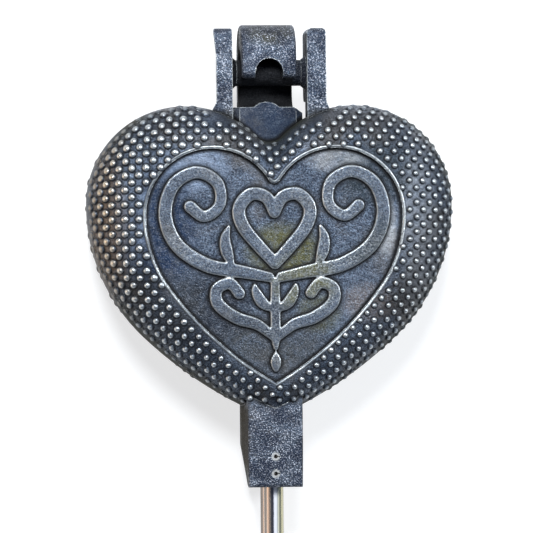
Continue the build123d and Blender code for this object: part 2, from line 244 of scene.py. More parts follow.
# Corners and creases that light reaches less are darkened: soot and painted shade.
edge_wear_and_shade.links.new(spread(edge_wear_and_shade, shelter, 0.92, 0.79), wear_out.inputs["Soot And Shade"])


def near_plane(tree, axis_value, level, inner, outer):
    """1 where a coordinate is within inner of the level, and 0 past outer."""
    away = sums(tree, "ABSOLUTE", sums(tree, "SUBTRACT", axis_value, level))
    return spread(tree, away, inner, outer, 1.0, 0.0)


def off_parting(tree, axes):
    """How far a point lies above or below the plane where the heads meet."""
    return sums(tree, "ABSOLUTE", sums(tree, "SUBTRACT", axes["Z"], parting_z))


def neck_plate(tree, axes, local_y, share):
    """The share on the plain plate of the neck, and 0 elsewhere."""
    plate = spread(tree, sums(tree, "ABSOLUTE", axes["X"]), *neck_edge_x, share, 0.0)
    plate = times(tree, plate, spread(tree, local_y, *neck_foot))
    return times(tree, plate, spread(tree, local_y, *neck_head, 1.0, 0.0))


def outer_side(tree, axes, local_y):
    """1 on a head's outer side and past its heart, and 0 in its cooking hollow."""
    normal = put(tree, "ShaderNodeTexCoord").outputs["Normal"]
    side = sums(tree, "SIGN", sums(tree, "SUBTRACT", axes["Z"], parting_z))
    outward = spread(tree, times(tree, split(tree, normal)["Z"], side), -0.3, -0.1)
    return most(tree, outward, spread(tree, local_y, *past_cleft))


def stained_lit_and_shaded(tree, color, place, axes, local_y, patch_table):
    """The colour with ragged oval patches over it; its table notes which are a stain or tint and which
    are painted light and painted shade.  Each is (x, y, reach x, reach y, share, colour), in
    millimetres from the middle of the heart."""
    shown = outer_side(tree, axes, local_y)
    streaks = noise(tree, place, 2.6 * mm, 5.0, 0.72, 0.4)
    for middle_x, middle_y, reach_x, reach_y, share, tint in patch_table:
        off_x = sums(tree, "DIVIDE", sums(tree, "SUBTRACT", axes["X"], middle_x * mm), reach_x * mm)
        off_y = sums(tree, "DIVIDE", sums(tree, "SUBTRACT", local_y, middle_y * mm), reach_y * mm)
        away = sums(tree, "ADD", sums(tree, "POWER", off_x, 2.0), sums(tree, "POWER", off_y, 2.0))
        ragged = spread(tree, streaks, 0.34, 0.62, 0.45 * share, share)
        held = times(tree, spread(tree, away, 0.15, 1.0, 1.0, 0.0), ragged)
        color = blend_colors(tree, times(tree, held, shown), color, tint)
    return color


def iron(
    name,
    grain_size,
    bump,
    extra_worn_and_highlight=None,
    extra_shade=None,
    patch_table=(),
    neck=0.0,
    rub_radius=0.5 * mm,
):
    """Sand-cast iron.  extra_worn_and_highlight and extra_shade build masks of places that are rubbed
    bright, partly as a painted highlight, and of places painted black as shade, besides edges and
    corners.  neck is how far the neck's plate is kept plain."""
    material, tree, shader = new_material(name)
    grain = use_group(tree, sand_grain, grain_size=grain_size)
    wear = use_group(tree, edge_wear_and_shade, radius=rub_radius)
    place = object_place(tree)
    axes = split(tree, place)
    local_y = sums(tree, "SUBTRACT", axes["Y"], heart_middle_y)
    at_hinge = spread(tree, local_y, *hinge_end)
    at_socket = spread(tree, local_y, *socket_end)
    rough_cast = most(tree, at_hinge, at_socket)
    on_neck = neck_plate(tree, axes, local_y, neck)
    # The far left rim, where painted warm light lies.
    warm_lit_left_rim = spread(tree, axes["X"], *left_rim_x, 1.0, 0.0)

    # The skin: speckles, brown stains, haze, and the sparkle of bare grains on the rough ends.
    color = blend_colors(tree, grain.outputs["Speckle"], skin_dark, skin_light)
    color = blend_colors(tree, times(tree, grain.outputs["Stain"], 0.6), color, skin_brown)
    haze = times(tree, grain.outputs["Haze"], scaled(tree, rough_cast, 0.10, 0.14))
    color = blend_colors(tree, haze, color, skin_haze)
    if patch_table:
        color = stained_lit_and_shaded(tree, color, place, axes, local_y, patch_table)
    patches = spread(tree, noise(tree, place, 6.5 * mm, 3.0, 0.6, 0.5), 0.38, 0.60)
    shade = times(tree, sums(tree, "SUBTRACT", 1.0, patches), rough_cast)
    color = blend_colors(tree, times(tree, shade, 0.75), color, skin_shade)
    sparkle = times(tree, rough_cast, scaled(tree, patches, 0.36, 0.16))
    sparkle = sums(tree, "ADD", sparkle, 0.10)
    sparkle = times(tree, sparkle, scaled(tree, on_neck, -0.75, 1.0))
    color = blend_colors(tree, times(tree, grain.outputs["Specks"], sparkle), color, skin_speck)

    # The fire's black and painted shade low on the flanks, less at the left rim where painted light
    # falls, and painted brown shade on the sides of the socket.
    flank_depth = sums(tree, "ADD", off_parting(tree, axes), times(tree, grain.outputs["Haze"], 3.0 * mm))
    fire_black_and_shade = spread(tree, flank_depth, *flank_dark_range, 0.94, 0.0)
    fire_black_and_shade = times(tree, fire_black_and_shade, sums(tree, "SUBTRACT", 1.0, most(tree, at_hinge, on_neck)))
    fire_black_and_shade = times(tree, fire_black_and_shade, scaled(tree, warm_lit_left_rim, -0.65, 1.0))
    color = blend_colors(tree, fire_black_and_shade, color, fire_and_shade_olive)
    # The sides of the socket are painted brown, as shade.
    flank = spread(tree, sums(tree, "ABSOLUTE", axes["X"]), *socket_flank_x, 0.0, 0.90)
    flank = times(tree, flank, at_socket)
    color = blend_colors(tree, flank, color, socket_side_shade_brown)

    # Wear and painted highlights, soot and painted shade lie over all of it.
    worn = wear.outputs["Worn"]
    if extra_worn_and_highlight:
        worn = most(tree, worn, extra_worn_and_highlight(tree, axes))
    soot_and_shade = wear.outputs["Soot And Shade"]
    if extra_shade:
        soot_and_shade = most(tree, soot_and_shade, extra_shade(tree, axes))
    color = blend_colors(tree, soot_and_shade, color, soot_and_shade_black)
    # At the left rim worn places turn straw, a painted warm reflection.
    color = blend_colors(tree, worn, color, blend_colors(tree, warm_lit_left_rim, worn_iron, worn_straw_glint))
    tree.links.new(color, shader.inputs["Base Color"])

    # Soot and burnt grease are dull; worn iron shines.
    dull = times(tree, most(tree, soot_and_shade, fire_black_and_shade), 0.9)
    dull = most(tree, dull, most(tree, flank, times(tree, on_neck, 0.8)))
    metal = times(tree, scaled(tree, worn, 0.30, 0.62), sums(tree, "SUBTRACT", 1.0, dull))
    tree.links.new(metal, shader.inputs["Metallic"])
    rough = spread(tree, grain.outputs["Speckle"], 0.0, 1.0, 0.43, 0.31)
    rough = sums(tree, "SUBTRACT", rough, times(tree, worn, 0.10))
    rough = sums(tree, "ADD", rough, times(tree, dull, 0.42))
    tree.links.new(rough, shader.inputs["Roughness"])
    shader.inputs["Specular IOR Level"].default_value = iron_gloss
    add_bump(tree, shader, grain.outputs["Height"], scaled(tree, rough_cast, 0.7 * bump, bump), 1.0)
    return material


def panel_wall_shade(tree, axes):
    """The steep wall round the sunk panel is painted black, as painted shade."""
    normal = put(tree, "ShaderNodeTexCoord").outputs["Normal"]
    upright = sums(tree, "ABSOLUTE", split(tree, normal)["Z"])
    steep = spread(tree, upright, 0.60, 0.85, 0.97, 0.0)
    return times(tree, steep, spread(tree, off_parting(tree, axes), 16.2 * mm, 16.7 * mm))


def lip_and_land(tree, axes):
    """The land where the heads meet is rubbed bright; the neck beside it keeps its skin."""
    land = spread(tree, off_parting(tree, axes), 0.12 * mm, 0.3 * mm, 1.0, 0.0)
    scuffs = noise(tree, object_place(tree), 2.2 * mm, 5.0, 0.7, 0.5)
    land = times(tree, land, spread(tree, scuffs, 0.36, 0.64, 0.22, 0.62))
    below_neck = spread(tree, axes["Y"], heart_middle_y + 17 * mm, heart_middle_y + 19 * mm, 1.0, 0.0)
    return times(tree, land, below_neck)


def hinge_bar_shade(tree, axes):
    """The bar and the inner sides of the ears are painted black as shade, less toward the bar's right
    end.
    """
    inside = sums(tree, "ABSOLUTE", axes["X"])
    inside = spread(tree, inside, 12.15 * mm, 12.35 * mm, 1.0, 0.0)
    inside = times(tree, inside, spread(tree, axes["X"], 7.4 * mm, 8.6 * mm, 0.95, 0.55))
    past_heart = spread(tree, axes["Y"], heart_middle_y + 30 * mm, heart_middle_y + 33 * mm)
    return most(tree, times(tree, inside, past_heart), panel_wall_shade(tree, axes))


def hook_eye_shade(tree, axes):
    """The eye of the hook is painted black round the bar, as painted shade."""
    off_y = sums(tree, "SUBTRACT", axes["Y"], hinge_y)
    off_z = sums(tree, "SUBTRACT", axes["Z"], parting_z)
    square = sums(tree, "ADD", sums(tree, "POWER", off_y, 2.0), sums(tree, "POWER", off_z, 2.0))
    lip_side = spread(tree, sums(tree, "SQRT", square), 6.6 * mm, 9.2 * mm, 0.97, 0.0)
    plate_side = near_plane(tree, axes["Z"], parting_z - 3.3 * mm, 2.5 * mm, 3.1 * mm)
    past_neck = spread(tree, off_y, -11.4 * mm, -10.8 * mm, 0.0, 0.97)
    eye = most(tree, lip_side, times(tree, plate_side, past_neck))
    return most(tree, eye, panel_wall_shade(tree, axes))


grease = (0.085, 0.080, 0.022, 1)
# The rubbed, pale blue sheen and rim light grey colours are painted light; straw is a tint and painted
# warm light.
rubbed = (0.50, 0.52, 0.54, 1)
straw_tint_and_warm_light = (0.24, 0.17, 0.11, 1)
pale_blue_sheen = (0.30, 0.38, 0.52, 1)
rim_light_grey = (0.27, 0.29, 0.32, 1)
# Deep blue and deep slate are tones and painted shade; slate brown is painted shade.
deep_blue_tone_and_shade = (0.012, 0.024, 0.054, 1)
deep_green = (0.016, 0.023, 0.028, 1)
deep_slate_tone_and_shade = (0.017, 0.021, 0.030, 1)
slate_brown_shade = (0.046, 0.047, 0.046, 1)
# The hook's olive is painted shade on the top of the hook, where it curves away from the light.
hook_top_shade_olive = (0.060, 0.058, 0.040, 1)
# Patches on the rear head: a deep blue tone on the neck, and painted shade on the hook's top.
neck_stains_and_shade = (
    (0, 27, 15, 12, 0.80, deep_blue_tone_and_shade),
    (0, 57, 11, 6, 0.90, hook_top_shade_olive),
)
# Patches on the front head. The grease and deep green ones are stains, and the faint straw one low at
# the right a tint; the rubbed, pale blue sheen and rim light grey ones are painted light, the straw one
# at the left rim painted warm light, and the deep blue, deep slate and slate brown ones painted shade.
panel_stains_light_and_shade = (
    (33, 11, 17, 13, 0.85, deep_green),
    (3, -14, 15, 11, 0.85, grease),
    (14, -34, 9, 8, 0.55, grease),
    (20, 15, 12, 5, 0.30, rubbed),
    (36, -6, 4, 12, 0.60, rubbed),
    (-27, 13, 15, 9, 0.50, pale_blue_sheen),
    (-36, -8, 14, 26, 1.0, deep_blue_tone_and_shade),
    (-20, -32, 16, 18, 1.0, deep_slate_tone_and_shade),
    (0, -44, 20, 13, 0.75, slate_brown_shade),
    (-36, -32, 16, 14, 0.45, slate_brown_shade),
    (-53, -6, 7, 28, 0.70, straw_tint_and_warm_light),
    (30, -31, 10, 8, 0.28, straw_tint_and_warm_light),
    (47, -6, 8, 34, 0.55, rim_light_grey),
    (-46, 2, 7, 28, 0.35, pale_blue_sheen),
    (4, -84, 14, 14, 0.70, deep_slate_tone_and_shade),
)
cast_grain = 0.5 * mm
cast_bump = 0.20 * mm
front_iron = iron(
    "front_casting",
    cast_grain,
    cast_bump,
    extra_worn_and_highlight=lip_and_land,
    extra_shade=hinge_bar_shade,
    patch_table=panel_stains_light_and_shade,
)
rear_iron = iron(
    "rear_casting",
    cast_grain,
    cast_bump,
    extra_worn_and_highlight=lip_and_land,
    extra_shade=hook_eye_shade,
    patch_table=neck_stains_and_shade,
    neck=1.0,
)
set_material(nodes["front_half"], front_iron)
set_material(nodes["rear_half"], rear_iron)

# Beads.  The swelling rims are cast with rows of small domes, laid out on a lattice that stands
# on its corner.  They stop at the lip, the ears, the neck and the socket.
bead_pitch = 4.73 * mm
bead_r = 1.55 * mm
bead_rise = 1.02 * mm
bead_row_x = -41.4 * mm
bead_row_y = 17.8 * mm
bead_sides = 12
bead_rings = ((1.0, -0.25), (0.90, 0.08), (0.74, 0.52), (0.40, 0.88))
lattice_count = 31
lattice_lead = 9
ray_height = 18.2 * mm
ray_middle_y = heart_middle_y - 12 * mm
flattest = 0.99999
ear_foot_y = 26.7 * mm
ear_inner_x = 11.0 * mm
ear_outer_x = 20.9 * mm
hinge_start_y = 33.6 * mm
neck_start_y = 17.0 * mm
neck_half_width = 11.8 * mm
socket_half_width = 10.4 * mm
socket_start_y = -63.0 * mm
lowest_bead_z = 0.02 * mm


def join_rings(shape, rings):
    """Walls from each ring of corners to the next, and a face under the first."""
    for low, high in zip(rings, rings[1:]):
        for side in range(len(low)):
            following = (side + 1) % len(low)
            shape.faces.new((low[side], low[following], high[following], high[side]))
    shape.faces.new(list(reversed(rings[0])))


def bead_mesh():
    """One bead.  Its rise runs from 0 at the foot to 1 at the crown, for the wear and the painted
    highlight on its top.
    """
    shape = bmesh.new()
    rise = shape.verts.layers.float.new("rise")
    rows = []
    for reach, level in bead_rings:
        row = []
        for side in range(bead_sides):
            turn = 2 * math.pi * side / bead_sides
            across = reach * bead_r * math.cos(turn)
            along = reach * bead_r * math.sin(turn)
            made = shape.verts.new((across, along, level * bead_rise))
            made[rise] = max(level, 0)
            row.append(made)
        rows.append(row)
    join_rings(shape, rows)
    crown = shape.verts.new((0, 0, bead_rise))
    crown[rise] = 1
    for side in range(bead_sides):
        shape.faces.new((rows[-1][side], rows[-1][(side + 1) % bead_sides], crown))
    mesh = bpy.data.meshes.new("bead")
    shape.to_mesh(mesh)
    shape.free()
    return mesh


def link(piece):
    bpy.context.scene.collection.objects.link(piece)
    return piece


def merged_copy(name):
    """A joined copy of a CAD node's mesh, for rays to land on."""
    mesh = nodes[name].data.copy()
    shape = bmesh.new()
    shape.from_mesh(mesh)
    bmesh.ops.remove_doubles(shape, verts=shape.verts, dist=0.002 * mm)
    shape.to_mesh(mesh)
    shape.free()
    return link(bpy.data.objects.new(name + "_copy", mesh))


def plain_mesh(piece, name):
    """The piece with its modifiers worked out, as a plain mesh object."""
    seen = piece.evaluated_get(bpy.context.evaluated_depsgraph_get())
    mesh = bpy.data.meshes.new_from_object(seen)
    mesh.name = name
    piece.modifiers.clear()
    bpy.data.objects.remove(piece)
    return link(bpy.data.objects.new(name, mesh))


def new_shape_tree(name, inputs):
    """A Geometry Nodes tree with named inputs, and the identifiers of their sockets."""
    tree = bpy.data.node_groups.new(name, "GeometryNodeTree")
    sockets = {}
    for label, kind, default in inputs:
        socket = tree.interface.new_socket(label, in_out="INPUT", socket_type=kind)
        if default is not None:
            socket.default_value = default
        sockets[label] = socket.identifier
    tree.interface.new_socket("Geometry", in_out="OUTPUT", socket_type="NodeSocketGeometry")
    takes = tree.nodes.new("NodeGroupInput").outputs
    gives = tree.nodes.new("NodeGroupOutput")
    return tree, sockets, takes, gives


def finish_shape(tree, shape, takes, gives):
    """Gives out the shape smooth, with its instances made real and its finish on."""
    for kind in ("GeometryNodeSetShadeSmooth", "GeometryNodeRealizeInstances"):
        shape = put(tree, kind, {"Geometry": shape}).outputs[0]
    finish = {"Geometry": shape, "Material": takes["Finish"]}
    tree.links.new(put(tree, "GeometryNodeSetMaterial", finish).outputs[0], gives.inputs[0])


bead_tree, bead_sockets, takes, gives = new_shape_tree(
    "bead_rows",
    (
        ("Casting", "NodeSocketObject", None),
        ("Bead", "NodeSocketObject", None),
        ("Pitch", "NodeSocketFloat", bead_pitch),
        ("Ray Side", "NodeSocketFloat", 1.0),
        ("Steepest", "NodeSocketFloat", 0.16),
        ("Inward Lean", "NodeSocketFloat", 6.5),
        ("Neck Half Width", "NodeSocketFloat", 0.0),
        ("Right Side Size", "NodeSocketFloat", 0.76),
        ("Seed", "NodeSocketInt", 7),
        ("Finish", "NodeSocketMaterial", None),
    ),
)

# Two square grids, half a pitch apart, stand off the casting on the side of the rays.
span = times(bead_tree, takes["Pitch"], lattice_count - 1)
grid = put(
    bead_tree,
    "GeometryNodeMeshGrid",
    {"Size X": span, "Size Y": span, "Vertices X": lattice_count, "Vertices Y": lattice_count},
).outputs["Mesh"]
lattice = bead_tree.nodes.new("GeometryNodeJoinGeometry")
for shift in (0.0, 0.5):
    shifted = times(bead_tree, takes["Pitch"], shift)
    grid_x = bead_row_x + lattice_lead * bead_pitch
    grid_y = heart_middle_y + bead_row_y - lattice_lead * bead_pitch
    spot = put(
        bead_tree,
        "ShaderNodeCombineXYZ",
        {
            "X": sums(bead_tree, "ADD", shifted, grid_x),
            "Y": sums(bead_tree, "ADD", shifted, grid_y),
            "Z": scaled(bead_tree, takes["Ray Side"], ray_height, parting_z),
        },
    ).outputs[0]
    moved = put(bead_tree, "GeometryNodeTransform", {"Geometry": grid, "Translation": spot})
    bead_tree.links.new(moved.outputs[0], lattice.inputs[0])

# A ray from each point leans in toward the heart's middle and finds the skin.
casting = put(bead_tree, "GeometryNodeObjectInfo", {"Object": takes["Casting"]})
start = split(bead_tree, put(bead_tree, "GeometryNodeInputPosition").outputs[0])
from_middle = sums(bead_tree, "SUBTRACT", start["Y"], ray_middle_y)
lean = times(bead_tree, takes["Inward Lean"], -1.0)
toward = put(
    bead_tree,
    "ShaderNodeCombineXYZ",
    {
        "X": times(bead_tree, start["X"], lean),
        "Y": times(bead_tree, from_middle, lean),
        "Z": times(bead_tree, takes["Ray Side"], -1.0),
    },
).outputs[0]
ray = put(
    bead_tree,
    "GeometryNodeRaycast",
    {
        "Target Geometry": casting.outputs["Geometry"],
        "Ray Direction": toward,
        "Ray Length": 2 * ray_height,
    },
).outputs
tilt = sums(bead_tree, "ABSOLUTE", split(bead_tree, ray["Hit Normal"])["Z"])
spot = split(bead_tree, ray["Hit Position"])
side_x = sums(bead_tree, "ABSOLUTE", spot["X"])
local_y = sums(bead_tree, "SUBTRACT", spot["Y"], heart_middle_y)


def both(first, second):
    return times(bead_tree, first, second)


def above(value, limit):
    return sums(bead_tree, "GREATER_THAN", value, limit)


def below(value, limit):
    return sums(bead_tree, "LESS_THAN", value, limit)


# Only points on the swelling rim are kept.
slope_fits = both(above(tilt, takes["Steepest"]), below(tilt, flattest))
in_hinge = above(local_y, hinge_start_y)
on_socket = both(below(side_x, socket_half_width), below(local_y, socket_start_y))
on_ear = both(above(local_y, ear_foot_y), both(above(side_x, ear_inner_x), below(side_x, ear_outer_x)))
on_neck = both(above(local_y, neck_start_y), below(side_x, takes["Neck Half Width"]))
taken = sums(bead_tree, "ADD", sums(bead_tree, "ADD", on_socket, on_ear), on_neck)
taken = sums(bead_tree, "ADD", taken, in_hinge)
keeps = both(both(slope_fits, ray["Is Hit"]), below(taken, 0.5))
points = put(
    bead_tree,
    "GeometryNodeDeleteGeometry",
    {"Geometry": lattice.outputs[0], "Selection": below(keeps, 0.5)},
    domain="POINT",
).outputs[0]
kept_normal = put(
    bead_tree,
    "GeometryNodeStoreNamedAttribute",
    {"Geometry": points, "Name": "facing", "Value": ray["Hit Normal"]},
    data_type="FLOAT_VECTOR",
    domain="POINT",
).outputs[0]
placed = put(
    bead_tree,
    "GeometryNodeSetPosition",
    {"Geometry": kept_normal, "Position": ray["Hit Position"]},
).outputs[0]

# At each of them a bead stands square on the skin.  No two are quite alike, and they are flatter
# on the steep flank and smaller toward the lower right.
facing = put(
    bead_tree, "GeometryNodeInputNamedAttribute", {"Name": "facing"}, data_type="FLOAT_VECTOR"
).outputs["Attribute"]
turned = put(bead_tree, "FunctionNodeAlignRotationToVector", {"Vector": facing}, axis="Z").outputs[0]
growth = put(
    bead_tree,
    "FunctionNodeRandomValue",
    {"Seed": takes["Seed"]},
    data_type="FLOAT_VECTOR",
)
growth.inputs["Min"].default_value = (0.88, 0.88, 0.85)
growth.inputs["Max"].default_value = (1.08, 1.08, 1.12)
tilt = sums(bead_tree, "ABSOLUTE", split(bead_tree, facing)["Z"])
faded = spread(bead_tree, tilt, 0.12, 0.50, 0.45, 1.0)
set_at = split(bead_tree, put(bead_tree, "GeometryNodeInputPosition").outputs[0])
downward = times(bead_tree, sums(bead_tree, "SUBTRACT", heart_middle_y, set_at["Y"]), 0.6)
worn_way = sums(bead_tree, "ADD", times(bead_tree, set_at["X"], 0.8), downward)
reach = spread(bead_tree, worn_way, -34 * mm, 24 * mm, 1.0, takes["Right Side Size"])
shrink = put(bead_tree, "ShaderNodeCombineXYZ", {"X": reach, "Y": reach, "Z": faded}).outputs[0]
growth = put(
    bead_tree,
    "ShaderNodeVectorMath",
    {0: growth.outputs["Value"], 1: shrink},
    operation="MULTIPLY",
)
bead_shape = put(bead_tree, "GeometryNodeObjectInfo", {"Object": takes["Bead"]}).outputs["Geometry"]
rows = put(
    bead_tree,
    "GeometryNodeInstanceOnPoints",
    {"Points": placed, "Instance": bead_shape, "Rotation": turned, "Scale": growth.outputs[0]},
).outputs[0]
finish_shape(bead_tree, rows, takes, gives)


def crown_wear_and_highlight(tree, axes):
    """Bead tops are rubbed bright and carry a painted highlight, less so low on the flank."""
    rise = put(tree, "ShaderNodeAttribute", attribute_name="rise").outputs["Fac"]
    reached = spread(tree, off_parting(tree, axes), 7.0 * mm, 14.5 * mm, 0.30, 1.0)
    return times(tree, spread(tree, rise, 0.40, 0.90, 0.0, 0.88), reached)


bead_iron = iron("bead_casting", 0.4 * mm, 0.05 * mm, extra_worn_and_highlight=crown_wear_and_highlight)
bead_stock = link(bpy.data.objects.new("bead_stock", bead_mesh()))
for half, ray_side, neck_width in (("front", 1.0, 0.0), ("rear", -1.0, neck_half_width)):
    copy = merged_copy(half + "_half")
    carrier = link(bpy.data.objects.new(half + "_lattice", bpy.data.meshes.new(half + "_lattice")))
    modifier = carrier.modifiers.new("rows", "NODES")
    modifier.node_group = bead_tree
    modifier[bead_sockets["Casting"]] = copy
    modifier[bead_sockets["Bead"]] = bead_stock
    modifier[bead_sockets["Ray Side"]] = ray_side
    modifier[bead_sockets["Neck Half Width"]] = neck_width
    modifier[bead_sockets["Finish"]] = bead_iron
    beads = plain_mesh(carrier, half + "_beads")
    bpy.data.objects.remove(copy)
    for vertex in beads.data.vertices:
        vertex.co.z = max(vertex.co.z, lowest_bead_z)
    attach(beads, half + "_arm")
bpy.data.objects.remove(bead_stock)

# Lip.  A thin raised line, cast with the front head, runs round its sunk panel, where the mould's
# edge was dressed by hand.  It wavers a little, and its top is rubbed brighter than the rest.
panel_lobe_x = 20.0
panel_lobe_y = -2.4
panel_lobe_r = 22.6
panel_side_r = 41.0
panel_side_angle = 36.0
panel_tip_y = -57.8
panel_cleft_r = 0.8
tip_rise = 1.18
lip_inset = 0.62
lip_line_r = 0.46 * mm
lip_line_sunk = 0.20 * mm
lip_waver = 0.16 * mm
lip_wave_length = 3.2 * mm
panel_edge_z = 18 * mm


def arc_points(middle, radius, start, end, step=0.6):
    count = max(2, int(abs(math.radians(end - start)) * radius / step))
    turns = [math.radians(start + (end - start) * share / count) for share in range(count)]
    return [(middle[0] + radius * math.cos(t), middle[1] + radius * math.sin(t)) for t in turns]


def panel_line(inset):
    """The panel's outline in millimetres, drawn in by the inset, from the cleft to the right."""
    lobe_r = panel_lobe_r - inset
    side_r = panel_side_r - inset
    cleft_r = panel_cleft_r + inset
    lobe = (panel_lobe_x, panel_lobe_y)
    side = (panel_lobe_x + panel_lobe_r - panel_side_r, panel_lobe_y)
    cleft = (0, panel_lobe_y + math.sqrt((lobe_r + cleft_r) ** 2 - panel_lobe_x**2))
    turn = math.degrees(math.atan2(cleft[1] - lobe[1], cleft[0] - lobe[0]))
    tip = Vector((0, panel_tip_y + inset * tip_rise))
    low = math.radians(-panel_side_angle)
    shoulder = Vector((side[0] + side_r * math.cos(low), side[1] + side_r * math.sin(low)))
    inward = Vector((-math.cos(low), -math.sin(low)))
    chord = tip - shoulder
    last_r = chord.length_squared / (2 * chord.dot(inward))
    last = shoulder + inward * last_r
    finish = math.degrees(math.atan2(tip.y - last.y, tip.x - last.x))
    right = arc_points(cleft, cleft_r, -90, turn - 180)
    right += arc_points(lobe, lobe_r, turn, 0)
    right += arc_points(side, side_r, 0, -panel_side_angle)
    right += arc_points(last, last_r, -panel_side_angle, finish)
    right.append(tuple(tip))
    return right + [(-x, y) for x, y in reversed(right[1:-1])]


line_tree, line_sockets, takes, gives = new_shape_tree(
    "raised_line",
    (
        ("Path", "NodeSocketGeometry", None),
        ("Radius", "NodeSocketFloat", lip_line_r),
        ("Waver", "NodeSocketFloat", lip_waver),
        ("Sides", "NodeSocketInt", 10),
        ("Finish", "NodeSocketMaterial", None),
    ),
)
spot = put(line_tree, "GeometryNodeInputPosition").outputs[0]
cloud = put(
    line_tree,
    "ShaderNodeTexNoise",
    {"Vector": spot, "Scale": 1 / lip_wave_length, "Detail": 2.0},
).outputs["Color"]
shake = put(
    line_tree,
    "ShaderNodeVectorMath",
    {0: cloud, 1: (0.5, 0.5, 0.5)},
    operation="SUBTRACT",
).outputs[0]
shake = put(
    line_tree,
    "ShaderNodeVectorMath",
    {0: shake, "Scale": takes["Waver"]},
    operation="SCALE",
).outputs[0]
wavered = put(line_tree, "GeometryNodeSetPosition", {"Geometry": takes["Path"], "Offset": shake})
path = put(line_tree, "GeometryNodeMeshToCurve", {"Mesh": wavered.outputs[0]}).outputs[0]
ring = put(
    line_tree,
    "GeometryNodeCurvePrimitiveCircle",
    {"Resolution": takes["Sides"], "Radius": takes["Radius"]},
).outputs["Curve"]
swept = put(line_tree, "GeometryNodeCurveToMesh", {"Curve": path, "Profile Curve": ring}).outputs[0]
finish_shape(line_tree, swept, takes, gives)


def line_top(tree, axes):
    """The top of the raised line is rubbed bright, more in some places than in others, and brighter
    toward the right.
    """
    patchy = spread(tree, noise(tree, object_place(tree), 7 * mm, 4.0), 0.38, 0.62, 0.20, 0.90)
    patchy = sums(tree, "ADD", patchy, spread(tree, axes["X"], 8 * mm, 34 * mm, 0.0, 0.4), True)
    top = spread(tree, off_parting(tree, axes), 18.02 * mm, 18.16 * mm)
    return times(tree, top, patchy)


lip_iron = iron("lip_casting", 0.4 * mm, 0.06 * mm, extra_worn_and_highlight=line_top)
lip_z = parting_z + panel_edge_z - lip_line_sunk
places = [(x * mm, y * mm + heart_middle_y, lip_z) for x, y in panel_line(lip_inset)]
count = len(places)
mesh = bpy.data.meshes.new("lip_path")
mesh.from_pydata(places, [(i, (i + 1) % count) for i in range(count)], [])
carrier = link(bpy.data.objects.new("lip_path", mesh))
modifier = carrier.modifiers.new("line", "NODES")
modifier.node_group = line_tree
modifier[line_sockets["Finish"]] = lip_iron
lip = plain_mesh(carrier, "front_lip_line")
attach(lip, "front_arm")

# Ornament.  A plain heart between scrolls with a sprig under it stands on each sunk panel, cast
# in one with it: flat tops, soft edges and about a millimetre of rise.  Each stroke is drawn as
# (x, y, half width), in millimetres from the middle of the heart, and mirrored where it has a twin.
relief_rise = 1.1 * mm
relief_sunk = 0.5 * mm
panel_depth = 16.8 * mm
relief_voxel = 0.3 * mm
relief_corners = 16
relief_steps = 10
foot_share = 1.06
top_step = 0.25 * mm
top_inset = 0.12
thinnest = 0.35
heart_stroke = [
    (0, -18.0, 1.9), (-5.0, -12.6, 2.0), (-10.2, -6.0, 2.1), (-11.4, -0.2, 2.1), (-7.6, 4.2, 2.1),
    (-2.6, 3.2, 2.0), (0, -1.6, 1.9),
]
scroll_stroke = [
    (2.0, -22.4, 1.6), (11.0, -20.6, 2.1), (22.0, -18.4, 2.3), (31.4, -12.0, 2.3), (35.2, -2.4, 2.2),
    (32.6, 7.2, 2.1), (25.2, 11.4, 2.0), (18.4, 8.0, 1.9), (17.6, 1.0, 1.8), (22.6, -2.8, 1.8),
    (27.2, 0.4, 1.9),
]
leaf_stroke = [(13.6, -18.6, 0.6), (15.4, -14.4, 1.9), (16.0, -10.0, 1.6), (14.8, -6.2, 0.5)]
stem_stroke = [(0, -24.0, 1.4), (0, -32.0, 1.6), (0, -41.0, 1.5), (0, -45.0, 0.8)]
low_scroll_stroke = [
    (0.8, -41.6, 1.3), (6.0, -37.6, 1.8), (12.6, -35.4, 2.0), (18.4, -31.0, 2.0), (18.8, -26.2, 1.9),
    (14.6, -24.4, 1.8), (11.6, -27.6, 1.8),
]
sprig_stroke = [(1.0, -33.0, 0.6), (4.2, -30.6, 1.8), (6.2, -27.2, 1.4), (6.6, -25.0, 0.5)]
drop_stroke = [(0, -46.8, 0.4), (0, -49.6, 1.7), (0, -52.0, 0.9)]


def curve_value(before, start, end, after, t):
    """The value at t, from 0 at start to 1 at end, on a smooth curve through all four."""
    return 0.5 * (
        2 * start
        + (end - before) * t
        + (2 * before - 5 * start + 4 * end - after) * t * t
        + (3 * start - before - 3 * end + after) * t**3
    )


def smooth_path(stroke):
    """Points and half widths on a curve through the stroke's points."""
    ends = [stroke[0]] + list(stroke) + [stroke[-1]]
    path = []
    for around in zip(ends, ends[1:], ends[2:], ends[3:]):
        for step in range(relief_steps):
            path.append([curve_value(*values, step / relief_steps) for values in zip(*around)])
    path.append(list(stroke[-1]))
    return path


def stroke_blocks(shape, stroke, low, high, side):
    """Short upright prisms along the stroke, for the remesh to fuse."""
    for x, y, half in smooth_path(stroke):
        half = max(half, thinnest)
        rings = []
        for level, reach in (
            (low, half * foot_share),
            (high - top_step, half),
            (high, half - top_inset),
        ):
            ring = []
            for corner in range(relief_corners):
                turn = 2 * math.pi * corner / relief_corners
                corner_x = side * (x * mm + reach * mm * math.cos(turn))
                corner_y = y * mm + heart_middle_y + reach * mm * math.sin(turn)
                ring.append(shape.verts.new((corner_x, corner_y, level)))
            rings.append(ring)
        join_rings(shape, rings)
        shape.faces.new(rings[-1])


